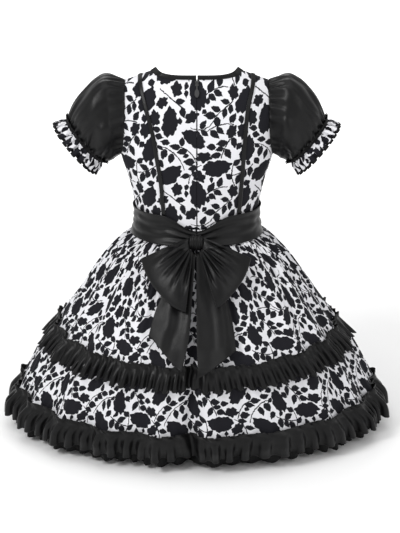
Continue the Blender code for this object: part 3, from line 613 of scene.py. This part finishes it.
def sleeve(label, hand, seed, satin):
    around, along = np.meshgrid(np.linspace(0, 360, 261), np.linspace(0, 1, 62))
    angle = np.radians(around)
    up, back = np.sin(angle), np.cos(angle)
    wander = 2.6 * lattice(around / 360, along, 14, 3, seed)
    drift = 2.2 * lattice(around / 360, along, 8, 2, seed + 3)
    swell = 1 + 0.5 * lattice(around / 360, along, 26, 3, seed + 1)
    cap = ease(along / 0.06) * np.exp(-along / 0.16) * (0.3 + 0.7 * np.clip(up + 0.35, 0, 1))
    end = ease((1 - along) / 0.04) * np.exp(-(1 - along) / 0.13)
    pucker = 4.2 * cap * swell * np.cos(SLEEVE_GATHERS * angle + wander)
    pucker += 3.4 * end * swell * np.cos(SLEEVE_GATHERS * angle + wander * 1.3)
    slant = np.cos(6 * angle + 4 * along + drift)
    pucker += 3.2 * np.sin(math.pi * along) * (slant - 0.4 * slant * slant)
    pucker += 1.8 * lattice(around / 360, along, 9, 3, seed + 2) * np.sin(math.pi * along)
    high = up * (curve(SLEEVE, "high", along) + pucker - 0.8)
    deep = back * (curve(SLEEVE, "deep", along) + pucker - 0.8)
    lean = np.radians(curve(SLEEVE, "lean", along))
    mid_x, mid_z = curve(SLEEVE, "middle_x", along), curve(SLEEVE, "middle_z", along)
    puff = stack(mid_x + high * np.sin(lean), SLEEVE_Y + deep, mid_z + high * np.cos(lean))
    armhole_z = (UNDERARM_Z + SHOULDER_Z) / 2 + up * ARMHOLE_HALF_HEIGHT
    z = np.clip(armhole_z, UNDERARM_Z + ARMHOLE_TUCK, SHOULDER_Z)
    x = curve(ARMHOLE, "half", z)
    inside = np.minimum(x, curve(TORSO, "half", z))
    y = np.where(back > 0, torso_y(inside, z, 1), torso_y(inside, z, -1))
    share = ease(along / SLEEVE_CAP)[..., None]
    points = stack(x + 0.6, y, z) * (1 - share) + puff * share
    points += normals(points) * (0.5 * pucker * (1 - share[..., 0]))[..., None]
    points[..., 0] *= hand
    name = f"sleeve_{label}"
    cloth(name, points, plain_flat(points), satin, [name], SATIN_CLOTH, closed=True)


def cuff(name, finish, hand, seed, span, rows, stands_for, wall, out=0.0):
    """A waved strip round the sleeve's end, over a span of millimetres past that end."""
    around, along = np.meshgrid(np.linspace(0, 360, 361), np.linspace(*span, rows))
    angle = np.radians(around)
    end = SLEEVE[-1]
    lean = math.radians(end.lean)
    phase = CUFF_WAVES * angle + 1.5 * lattice(around / 360, 0 * along, 14, 1, seed + 5)
    swell = 1 + 0.35 * lattice(around / 360, 0 * along, 18, 1, seed + 6)
    spread = curve(CUFF, "spread", along) + out
    spread = spread + curve(CUFF, "wave", along) * swell * np.cos(phase)
    past = np.clip(along / CUFF_LONG, 0, 1)
    shift = 0.045 * past * np.sin(2 * phase)
    up = np.sin(angle + shift) * (end.high + spread)
    back = np.cos(angle + shift) * (end.deep + spread)
    run = along + 0.8 * np.cos(phase) * past
    points = stack(
        hand * (end.middle_x + up * math.sin(lean) + run * math.cos(lean)),
        SLEEVE_Y + back,
        end.middle_z + up * math.cos(lean) - run * math.sin(lean),
    )
    flat = stack(around / 360 * 0.42 + 0.03, along / 1000)
    cloth(name, points, flat, finish, stands_for, wall, closed=True)


def make_sleeves(satin, print_cloth, trim):
    for label, hand, seed in (("left", 1, 50), ("right", -1, 60)):
        sleeve(label, hand, seed, satin)
        name = f"cuff_ruffle_{label}"
        cuff(name, print_cloth, hand, seed, (0.5, CUFF_LONG), 12, [name], CLOTH)
        cuff(f"cuff_binding_{label}", trim, hand, seed, (20.0, 24.0), 4, [], 2.0)
        cuff(f"cuff_header_{label}", trim, hand, seed, (-5.0, 2.2), 6, [], 0.8, out=0.3)


# The sash and the bow.
def make_sash(satin):
    spans = {
        "sash_front": (180.2, 359.8, 150),
        "sash_back_left": (0.2, 89.85, 96),
        "sash_back_right": (90.15, 179.8, 96),
    }
    for name, (start, end, columns) in spans.items():
        turn, rise = np.meshgrid(np.linspace(start, end, columns), np.linspace(0, 1, 36))
        angle = np.radians(turn)
        back = np.sin(angle) > 0
        x = curve(SASH, "half", WAIST_Z) * np.cos(angle)
        narrow = np.where(back, ease((SASH_NARROWS_AT - np.abs(x)) / SASH_NARROWS_AT), 0.0)
        top = SASH_TOP_Z - SASH_NARROW_TOP * narrow
        bottom = SASH_BOTTOM_Z - SASH_NARROW_BOTTOM * narrow
        z = bottom + (top - bottom) * rise
        half = curve(SASH, "half", z)
        depth = np.where(back, curve(SASH, "back", z), curve(SASH, "front", z))
        drift = 0.9 * lattice(turn / 360, rise, 16, 3, 71)
        edge = np.sin(math.pi * rise) ** 0.6
        deeper = 0.8 + 1.1 * narrow
        fold = deeper * np.sin(2 * math.pi * 3.2 * rise + drift * 2.2) * edge
        fold = fold + 0.7 * lattice(turn / 360, rise, 40, 7, 72) * edge - 0.2
        points = stack((half + fold) * np.cos(angle), CENTRE_Y + (depth + fold) * np.sin(angle), z)
        cloth(name, points, plain_flat(points), satin, [name], SATIN_CLOTH)


def back_slope(x, down, lift):
    z = KNOT_Z - down * SLOPE_DROP
    side, half = curve(SKIRT, "side", z), curve(SASH, "half", z)
    skirt = curve(SKIRT, "back", z) * np.sqrt(np.maximum(1 - (x / side) ** 2, 0.0))
    sash = curve(SASH, "back", z) * np.sqrt(np.maximum(1 - (x / half) ** 2, 0.0))
    y = CENTRE_Y + np.maximum(skirt, sash) + lift * SLOPE_OUT
    return stack(KNOT_X + x, y, z + lift * SLOPE_UP)


def make_knot(satin):
    centre = back_slope(np.array(0.0), np.array(0.0), np.array(KNOT_LIFT))
    turn, across = np.meshgrid(np.linspace(0, 360, 97), np.linspace(-1, 1, 28))
    angle = np.radians(turn)
    crush = lattice(turn / 360, across / 2 + 0.5, 7, 5, 81)
    fold = 0.9 * np.cos(math.pi * 3.4 * across + 1.2 * crush) + 0.5 * crush
    swell = 1 - 0.12 * across * across
    y = (KNOT_HALF_DEPTH + fold) * swell * np.cos(angle)
    z = (KNOT_HALF_HEIGHT - 0.6 + fold) * swell * np.sin(angle)
    points = centre + stack(across * KNOT_HALF_WIDTH, y, z)
    name = "bow_knot"
    cloth(name, points, plain_flat(points), satin, [name], SATIN_CLOTH, closed=True)


def make_loops(satin):
    for label, hand in (("left", 1), ("right", -1)):
        across, around = np.meshgrid(np.linspace(0, 1, 90), np.linspace(0, 1, 92))
        upper, lower = LOOP_SPAN[hand]
        degrees = upper + (lower - upper) * across
        angle = np.radians(degrees)
        reach = curve(LOOP, "reach", degrees)
        turn = 2 * math.pi * around
        share = (1 - np.cos(turn)) / 2
        start, end = LOOP_ROOT_TURN
        corner = np.radians(start + (end - start) * across)
        root_down = np.sign(corner) * np.abs(np.sin(corner)) ** 0.5 * LOOP_ROOT_DOWN
        root_x = LOOP_ROOT_X * np.cos(corner) ** 0.5
        x = root_x * (1 - share) + reach * np.cos(angle) * share
        down = root_down * (1 - share) + reach * np.sin(angle) * share
        puff = LOOP_PUFF * np.sin(turn) * (1 + np.sin(math.pi * across)) / 2
        drift = 0.9 * lattice(across * 0.5, around, 8, 4, 91 + hand)
        near = np.exp(-((share - 0.3) / 0.34) ** 2)
        ray = np.cos(2 * math.pi * 5 * across + drift) + 0.35 * np.cos(2 * math.pi * 9 * across + 2)
        fold = 3.8 * ray * near * np.sin(turn) ** 2 * (1 - 0.35 * share)
        fold = fold + 1.1 * lattice(across * 0.5, around, 10, 7, 95 + hand) * np.sin(turn) ** 2
        fold = fold * np.where(around < 0.5, 1, 0.4)
        lift = LOOP_ROOT_LIFT + (LOOP_LIFT - LOOP_ROOT_LIFT) * ease(share * LOOP_RISES_BY)
        lift = lift + puff + LOOP_LEAF_GAP * np.cos(turn / 2) + fold
        points = back_slope(hand * x, down, lift)
        name = f"bow_loop_{label}"
        cloth(name, points, plain_flat(points), satin, [name], SATIN_CLOTH)


def make_tails(satin):
    for label, hand in (("left", 1), ("right", -1)):
        across, along = np.meshgrid(np.linspace(0, 1, 60), np.linspace(0, 1, 90))
        rows = TAILS[hand]
        x = curve(rows, "inner_x", along) * (1 - across) + curve(rows, "outer_x", along) * across
        down = curve(rows, "inner_down", along) * (1 - across)
        down = down + curve(rows, "outer_down", along) * across
        drift = 0.8 * lattice(across * 0.5, along, 6, 3, 101 + hand)
        lift = curve(TAIL_LIFT, "lift", down) + 2.2 * np.cos(3 * math.pi * across + drift) * ease(along * 2)
        lift = lift + 0.8 * lattice(across * 0.5, along, 8, 7, 105 + hand) * ease(along * 3)
        points = back_slope(x, down, lift)
        name = f"bow_tail_{label}"
        cloth(name, points, plain_flat(points), satin, [name], SATIN_CLOTH)


# The print: roses, flowers, and stems with pairs of leaves, strewn over one repeat by a seeded draw.
# Lengths are in millimetres, and length and width are a motif's own.
REPEAT = 170.0
SKIRT_REPEAT = 156.0
LAYOUT_SEED, LAYOUT_CELLS, TRIES = 11, 220, 60
ROSE_TURNS = (70, 95, 110, 20, 160, 130, 85)
FILLERS = (
    ("leaf", 16, 9.5, 18, 1.2),
    ("leaf", 11, 6.5, 12, 1.0),
)
STEM_TRIES, STEM_MARGIN, STEM_OVERLAP = 500, 2.0, 0.18
LEAF_STEPS, LEAF_MARGIN, LEAF_OVERLAP, LEAF_STALK = (-0.8, -0.3, 0.2, 0.7), 1.2, 0.03, 2.0
LEAF_TAPER = 0.35
# A flower's outline: its mean reach, and the waves round it as a count, a size and a phase.
FLOWERS = {
    "rose": (0.86, ((3, 0.06, 1.0), (7, 0.05, 2.0))),
    "bloom": (0.82, ((5, 0.11, 1.0), (9, 0.07, 0.0))),
}
ROSE_TEETH = 11
# In the layout a stem and a rose's teeth take a little other room than their ink.
STEM_ROOM, TOOTH_ROOM, NEAR_INK = 0.55, 0.11, 5.0
STEM_HALF, TOOTH_HIGH, INK_SPREAD, SEAM_HALF = 0.35, 0.12, 0.6, 0.0008
# The cloth's unevenness moves the print by up to half of this, in millimetres.
WOBBLE, WOBBLE_SCALE = 4.0, 0.22
# A share too small to see. It ties each motif to the one before, so they are worked out in turn.
IN_TURN, FAR_OFF = 1e-7, 100.0
COTTON_DARK, COTTON_LIGHT = (0.62, 0.62, 0.65, 1), (0.69, 0.69, 0.71, 1)
INK, ENAMEL = (0.0085, 0.0085, 0.0115, 1), (0.015, 0.015, 0.016, 1)
Motif = namedtuple("Motif", "x y kind turn length width")


def round_repeat(apart):
    """The shortest way round the repeat."""
    return (apart + REPEAT / 2) % REPEAT - REPEAT / 2


class Layout:
    """The motifs of one repeat, and a grid of cells that says where their ink lies."""

    def __init__(self):
        self.random = np.random.RandomState(LAYOUT_SEED)
        cells = (np.arange(LAYOUT_CELLS) + 0.5) * REPEAT / LAYOUT_CELLS
        self.x, self.y = np.meshgrid(cells, cells)
        self.inked = np.zeros(self.x.shape, bool)
        self.motifs = []

    def between(self, low, high):
        return low + (high - low) * self.random.rand()

    def outside(self, kind, x, y, turn, length, width):
        """How far each cell lies outside a motif: below 0 is inside."""
        dx, dy = round_repeat(self.x - x), round_repeat(self.y - y)
        angle = math.radians(turn)
        t = (dx * math.cos(angle) + dy * math.sin(angle)) / (length / 2)
        off = dy * math.cos(angle) - dx * math.sin(angle)
        past = (np.abs(t) - 1) * length / 2
        if kind == "leaf":
            return np.maximum(np.abs(off) - width / 2 * (1 - t * t) * (1 - LEAF_TAPER * t), past)
        if kind == "stem":
            return np.maximum(np.abs(off - width * (1 - t * t)) - STEM_ROOM, past)
        off = off / (width / 2)
        around = np.arctan2(off, t)
        reach, waves = FLOWERS[kind]
        reach = reach + sum(size * np.cos(count * around + phase) for count, size, phase in waves)
        if kind == "rose":
            reach = reach + TOOTH_ROOM * np.abs(around * ROSE_TEETH / math.pi % 2 - 1)
        return (np.hypot(t, off) - reach) * width / 2

    def overlap(self, margin, *motif):
        """How much of a motif, grown by a margin, lies on ink."""
        grown = self.outside(*motif) < margin
        return (grown & self.inked).sum() / max(grown.sum(), 1)

    def note(self, kind, x, y, *rest):
        self.motifs.append(Motif(x, y, kind, *rest))

    def add(self, kind, *values):
        values = [round(float(value), 1) for value in values]
        self.note(kind, *values)
        self.inked |= self.outside(kind, *values) < 0

    def add_roses(self):
        """Each rose goes to the one of its tries that is farthest from the roses before it."""
        places = []
        for turn in ROSE_TURNS:
            tries = [self.random.rand(2) * REPEAT for _ in range(TRIES)]
            room = [min((np.hypot(*round_repeat(t - p)) for p in places), default=0) for t in tries]
            places.append(tries[int(np.argmax(room))])
            turned = turn + self.between(0, 20)
            self.add("rose", *places[-1], turned, self.between(44, 52), self.between(25, 30))

    def fill(self, kind, length, width, count, margin):
        """Each motif goes to the one of its tries that is clear of ink and has the most beside it."""
        for _ in range(count):
            best, most = None, -1.0
            for _ in range(TRIES):
                place = self.between(0, REPEAT), self.between(0, REPEAT), self.between(0, 360)
                size = length * self.between(0.88, 1.12), width * self.between(0.9, 1.1)
                far = self.outside(kind, *place, *size)
                if (self.inked & (far < margin)).any():
                    continue
                near = (far > margin) & (far < margin + NEAR_INK)
                beside = (near & self.inked).sum() / max(near.sum(), 1)
                if beside > most:
                    best, most = (*place, *size), beside
            if best:
                self.add(kind, *best)

    def leaf_by(self, stem, step, hand):
        """A leaf that points out and forward from one side of a stem."""
        x, y, turn, length, bend = stem
        long = self.between(15, 21)
        wide = long * self.between(0.5, 0.62)
        out = math.radians(self.between(35, 65)) * hand
        along = step * length / 2 + math.cos(out) * (long / 2 + LEAF_STALK)
        off = bend * (1 - step * step) + math.sin(out) * (long / 2 + LEAF_STALK)
        angle = math.radians(turn)
        leaf_x = (x + along * math.cos(angle) - off * math.sin(angle)) % REPEAT
        leaf_y = (y + along * math.sin(angle) + off * math.cos(angle)) % REPEAT
        return leaf_x, leaf_y, (turn + math.degrees(out)) % 360, long, wide

    def try_stem(self):
        """A bent stem with its leaves, kept only where two or more of them fit."""
        place = self.between(0, REPEAT), self.between(0, REPEAT), self.between(0, 360)
        stem = (*place, self.between(38, 56), self.between(-8, 8))
        if self.overlap(STEM_MARGIN, "stem", *stem) > STEM_OVERLAP:
            return
        before, leaves = self.inked.copy(), []
        for step in LEAF_STEPS:
            first = 1 if self.random.rand() < 0.5 else -1
            for hand in (first, -first):
                leaf = self.leaf_by(stem, step, hand)
                if self.overlap(LEAF_MARGIN, "leaf", *leaf) <= LEAF_OVERLAP:
                    leaves.append([round(value, 1) for value in leaf])
                    self.inked |= self.outside("leaf", *leaf) < 0
        if len(leaves) < 2:
            self.inked = before
            return
        self.add("stem", *stem)
        for leaf in leaves:
            self.note("leaf", *leaf)


def lay_out_print():
    layout = Layout()
    layout.add_roses()
    layout.fill("bloom", 27, 20, 9, 2.5)
    for _ in range(STEM_TRIES):
        layout.try_stem()
    for filler in FILLERS:
        layout.fill(*filler)
    return sorted(layout.motifs)


class Shader:
    """Adds nodes to a material one after the other, in the order in which they are worked out."""

    def __init__(self, name, slot=""):
        self.material = bpy.data.materials.new(name)
        self.material["slot"] = slot
        self.material.use_nodes = True
        self.tree = self.material.node_tree
        self.tree.nodes.clear()

    def node(self, kind, inputs=(), **settings):
        made = self.tree.nodes.new(kind)
        for key, value in settings.items():
            setattr(made, key, value)
        for key, value in dict(inputs).items():
            if isinstance(value, bpy.types.NodeSocket):
                self.tree.links.new(value, made.inputs[key])
            else:
                made.inputs[key].default_value = value
        return made

    def math(self, operation, *values, clamp=False):
        inputs = dict(enumerate(values))
        return self.node("ShaderNodeMath", inputs, operation=operation, use_clamp=clamp).outputs[0]

    def dot(self, first, second):
        made = self.node("ShaderNodeVectorMath", {0: first, 1: second}, operation="DOT_PRODUCT")
        return made.outputs["Value"]

    def vector(self, operation, *values):
        inputs = dict(enumerate(values))
        return self.node("ShaderNodeVectorMath", inputs, operation=operation).outputs[0]

    def scale(self, place, by):
        inputs = {0: place, "Scale": by}
        return self.node("ShaderNodeVectorMath", inputs, operation="SCALE").outputs[0]

    def noise(self, place, scale, detail=2.0, output="Fac"):
        inputs = {"Vector": place, "Scale": scale, "Detail": detail}
        return self.node("ShaderNodeTexNoise", inputs).outputs[output]

    def bump(self, strength, distance, height, **under):
        inputs = {"Strength": strength, "Distance": distance, "Height": height, **under}
        return self.node("ShaderNodeBump", inputs).outputs[0]

    def mix(self, share, first, second):
        inputs = {"Factor": share, "A": first, "B": second}
        return self.node("ShaderNodeMix", inputs, data_type="RGBA").outputs[2]


def motif(shader, place, row):
    """How far a point lies outside one motif, in millimetres: below 0 is inside."""
    half = REPEAT / 2
    high, low = (row.x + half, row.y + half, 1.0), (row.x - half, row.y - half, -1.0)
    near = shader.vector("WRAP", place, high, low)
    turn = math.radians(row.turn)
    axes = ((math.cos(turn), math.sin(turn), 0.0), (-math.sin(turn), math.cos(turn), 0.0))
    scales = (2 / row.length, 2 / row.width if row.kind in FLOWERS else 1.0)
    seen = []
    for axis, scale in zip(axes, scales):
        middle = row.x * axis[0] + row.y * axis[1]
        seen.append(shader.math("MULTIPLY_ADD", shader.dot(near, axis), scale, -scale * middle))
    t, off = seen
    if row.kind in FLOWERS:
        return flower(shader, row, t, off)
    bow = shader.math("SUBTRACT", 1.0, shader.math("MULTIPLY", t, t))
    past = shader.math("MULTIPLY_ADD", shader.math("ABSOLUTE", t), row.length / 2, -row.length / 2)
    if row.kind == "stem":
        off = shader.math("MULTIPLY_ADD", bow, -row.width, off)
        off = shader.math("SUBTRACT", shader.math("ABSOLUTE", off), STEM_HALF)
    else:
        taper = shader.math("MULTIPLY_ADD", t, -LEAF_TAPER * row.width / 2, row.width / 2)
        aside = shader.math("ABSOLUTE", off)
        off = shader.math("SUBTRACT", aside, shader.math("MULTIPLY", bow, taper))
    return shader.math("MAXIMUM", off, past)


def flower(shader, row, t, off):
    angle = shader.math("ARCTAN2", off, t)
    far = shader.math("SQRT", shader.math("MULTIPLY_ADD", t, t, shader.math("MULTIPLY", off, off)))
    edge, waves = FLOWERS[row.kind]
    for count, size, phase in waves:
        wave = shader.math("COSINE", shader.math("MULTIPLY_ADD", angle, count, phase))
        edge = shader.math("MULTIPLY_ADD", wave, size, edge)
    if row.kind == "rose":
        teeth = shader.math("PINGPONG", shader.math("MULTIPLY", angle, ROSE_TEETH / math.pi), 1.0)
        edge = shader.math("MULTIPLY_ADD", teeth, TOOTH_HIGH, edge)
    return shader.math("MULTIPLY", shader.math("SUBTRACT", far, edge), row.width / 2)


def weave(shader, threads, depth, distance):
    """A fine plain weave as a bump, from the cloth's own coordinates."""
    place = shader.node("ShaderNodeUVMap", uv_map="cloth").outputs[0]
    parts = shader.node("ShaderNodeSeparateXYZ", {0: shader.scale(place, threads)})
    warp = shader.math("SINE", parts.outputs[0])
    weft = shader.math("SINE", parts.outputs[1])
    height = shader.math("MULTIPLY_ADD", shader.math("MULTIPLY", warp, weft), 0.5, 0.5)
    return shader.bump(depth, distance, height)


def finish(shader, colour, normal, roughness, specular, sheen=0.0):
    surface = shader.node(
        "ShaderNodeBsdfPrincipled",
        {
            "Base Color": colour,
            "Normal": normal,
            "Roughness": roughness,
            "Sheen Weight": sheen,
            "Sheen Roughness": 0.4,
            "Specular IOR Level": specular,
        },
    )
    shader.node("ShaderNodeOutputMaterial", {"Surface": surface.outputs[0]})
    return shader.material


def printed(name, motifs, repeat, shift, seam=None):
    """White cotton with the print in black. A seam is a dark line at that place across the cloth."""
    shader = Shader(name, "printed_cotton")
    place = shader.node("ShaderNodeUVMap", uv_map="cloth").outputs[0]
    scaled = shader.scale(place, 1000 * REPEAT / repeat)
    moved = shader.vector("ADD", scaled, (*shift, 0))
    rough = shader.noise(moved, WOBBLE_SCALE, output="Color")
    wobble = shader.scale(shader.vector("SUBTRACT", rough, (0.5, 0.5, 0.5)), WOBBLE)
    moved = shader.vector("ADD", moved, wobble)
    nearest = FAR_OFF
    for row in motifs:
        after = moved
        if row is not motifs[0]:
            after = shader.vector("MULTIPLY_ADD", nearest, (IN_TURN, IN_TURN, IN_TURN), moved)
        nearest = shader.math("MINIMUM", motif(shader, after, row), nearest)
    ink = shader.math("LESS_THAN", nearest, INK_SPREAD)
    if seam is not None:
        across = shader.node("ShaderNodeSeparateXYZ", {0: place}).outputs[0]
        ink = shader.math("MAXIMUM", ink, shader.math("COMPARE", across, seam, SEAM_HALF))
    white = shader.mix(shader.noise(scaled, 0.02, detail=3.0), COTTON_DARK, COTTON_LIGHT)
    colour = shader.mix(ink, white, INK)
    normal = weave(shader, threads=5200.0, depth=0.22, distance=0.0002)
    return finish(shader, colour, normal, roughness=0.85, specular=0.16, sheen=0.02)


def satin_cloth(name, slot, tone, roughness, specular):
    shader = Shader(name, slot)
    place = shader.node("ShaderNodeTexCoord").outputs["Object"]
    dark = (tone * 0.8, tone * 0.8, tone * 0.86, 1)
    light = (tone * 1.25, tone * 1.25, tone * 1.32, 1)
    colour = shader.mix(shader.noise(place, 14.0, detail=3.0), dark, light)
    normal = weave(shader, threads=7000.0, depth=0.16, distance=0.00015)
    normal = shader.bump(0.25, 0.0012, shader.noise(place, 70.0), Normal=normal)
    return finish(shader, colour, normal, roughness, specular)


def enamel():
    shader = Shader("enamelled_metal", "black_enamel")
    place = shader.node("ShaderNodeTexCoord").outputs["Object"]
    normal = shader.bump(0.1, 0.0001, shader.noise(place, 900.0))
    return finish(shader, ENAMEL, normal, roughness=0.32, specular=0.5)


# The studio.
FLOOR_Z, FLOOR_SIZE = -0.662, 14
FLOOR_COLOUR, WHITE = (0.9, 0.9, 0.9, 1), (1, 1, 1, 1)
WORLD_LIGHT = 0.62
GLOW_FROM, GLOW_RISE = 0.6, 0.3
LAMPS = (
    ("key", (1.9, 1.8, 1.7), (0.9, 0.9), 52.0),
    ("fill", (-2.2, 1.8, 1.2), (1.6, 1.6), 16.0),
    ("top", (0.0, 0.3, 2.6), (2.6, 2.6), 30.0),
    ("front", (0.4, -2.6, 1.6), (2.0, 2.0), 24.0),
)
LAMP_AIM = (0, 0, -0.35)
CAMERA_LENS, CAMERA_SENSOR, CAMERA_TILT, CAMERA_FAR = 135.2, 36, 20, 3.6
CAMERA_AIM = (-0.0054, 0, -0.369)


def aim_at(thing, target):
    thing.rotation_euler = (Vector(target) - thing.location).to_track_quat("-Z", "Y").to_euler()
    bpy.context.scene.collection.objects.link(thing)


def make_floor():
    """A pale floor that glows more with distance, so that it fades into the white behind."""
    pale = Shader("studio_floor")
    place = pale.node("ShaderNodeTexCoord").outputs["Object"]
    normal = pale.bump(0.02, 0.001, pale.noise(place, 3.0))
    floor_finish = finish(pale, FLOOR_COLOUR, normal, roughness=0.9, specular=0.1)
    surface = next(node for node in pale.tree.nodes if node.type == "BSDF_PRINCIPLED")
    surface.inputs["Emission Color"].default_value = WHITE
    away = pale.node("ShaderNodeVectorMath", {0: place}, operation="LENGTH").outputs["Value"]
    glow = pale.math("MULTIPLY_ADD", away, GLOW_RISE, -GLOW_RISE * GLOW_FROM, clamp=True)
    pale.tree.links.new(glow, surface.inputs["Emission Strength"])
    grid = {"x_subdivisions": 8, "y_subdivisions": 8, "size": FLOOR_SIZE}
    bpy.ops.mesh.primitive_grid_add(location=(0, 0, FLOOR_Z), **grid)
    floor = bpy.context.object
    floor.name = "studio_floor"
    floor.data.materials.append(floor_finish)


def light_world():
    world = bpy.data.worlds.new("studio")
    world.use_nodes = True
    background = world.node_tree.nodes["Background"]
    background.inputs["Color"].default_value = WHITE
    background.inputs["Strength"].default_value = WORLD_LIGHT
    bpy.context.scene.world = world


def make_lamps():
    for name, place, size, power in LAMPS:
        data = bpy.data.lights.new(name, "AREA")
        data.shape = "RECTANGLE"
        data.size, data.size_y = size
        data.energy = power
        lamp = bpy.data.objects.new(name, data)
        lamp.location = place
        aim_at(lamp, LAMP_AIM)


def make_camera():
    data = bpy.data.cameras.new("camera")
    data.lens, data.sensor_width = CAMERA_LENS, CAMERA_SENSOR
    camera = bpy.data.objects.new("camera", data)
    tilt = math.radians(CAMERA_TILT)
    camera.location = Vector(CAMERA_AIM) + CAMERA_FAR * Vector((0, math.cos(tilt), math.sin(tilt)))
    aim_at(camera, CAMERA_AIM)
    bpy.context.scene.camera = camera
    bpy.context.scene.view_settings.view_transform = "Standard"


def make_dress():
    motifs = lay_out_print()
    print_cloth = printed("cotton_bodice", motifs, REPEAT, (12.0, 40.0), seam=BACK_U)
    skirt_cloth = printed("cotton_skirt", motifs, SKIRT_REPEAT, (60.0, 15.0))
    satin = satin_cloth("satin", "black_satin", tone=0.004, roughness=0.38, specular=0.19)
    trim = satin_cloth("matt_trim", "black_trim", tone=0.004, roughness=0.6, specular=0.14)
    metal = enamel()
    make_bodice(print_cloth)
    make_binding(satin)
    make_ribbons(satin)
    make_tiers(skirt_cloth)
    ruffle("ruffle_upper", satin, UPPER_RUFFLE, waves=98, columns=981, count=18, seed=41)
    ruffle("ruffle_lower", satin, LOWER_RUFFLE, waves=74, columns=889, count=22, seed=42)
    ruffle("hem_under_frill", trim, UNDER_FRILL, waves=70, columns=561, count=8, seed=43)
    make_sleeves(satin, skirt_cloth, trim)
    make_sash(satin)
    make_knot(satin)
    make_loops(satin)
    make_tails(satin)
    for name in ("zip_slider", "zip_pull"):
        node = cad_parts[name]
        node.data.materials.clear()
        node.data.materials.append(metal)


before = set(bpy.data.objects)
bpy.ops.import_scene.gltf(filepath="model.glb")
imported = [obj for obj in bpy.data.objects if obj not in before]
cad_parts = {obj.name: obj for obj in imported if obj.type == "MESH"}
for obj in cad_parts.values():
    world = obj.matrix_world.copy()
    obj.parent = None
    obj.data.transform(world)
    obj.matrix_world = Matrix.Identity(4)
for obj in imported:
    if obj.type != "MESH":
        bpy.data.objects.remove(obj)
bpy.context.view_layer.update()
make_dress()
make_floor()
light_world()
make_lamps()
make_camera()
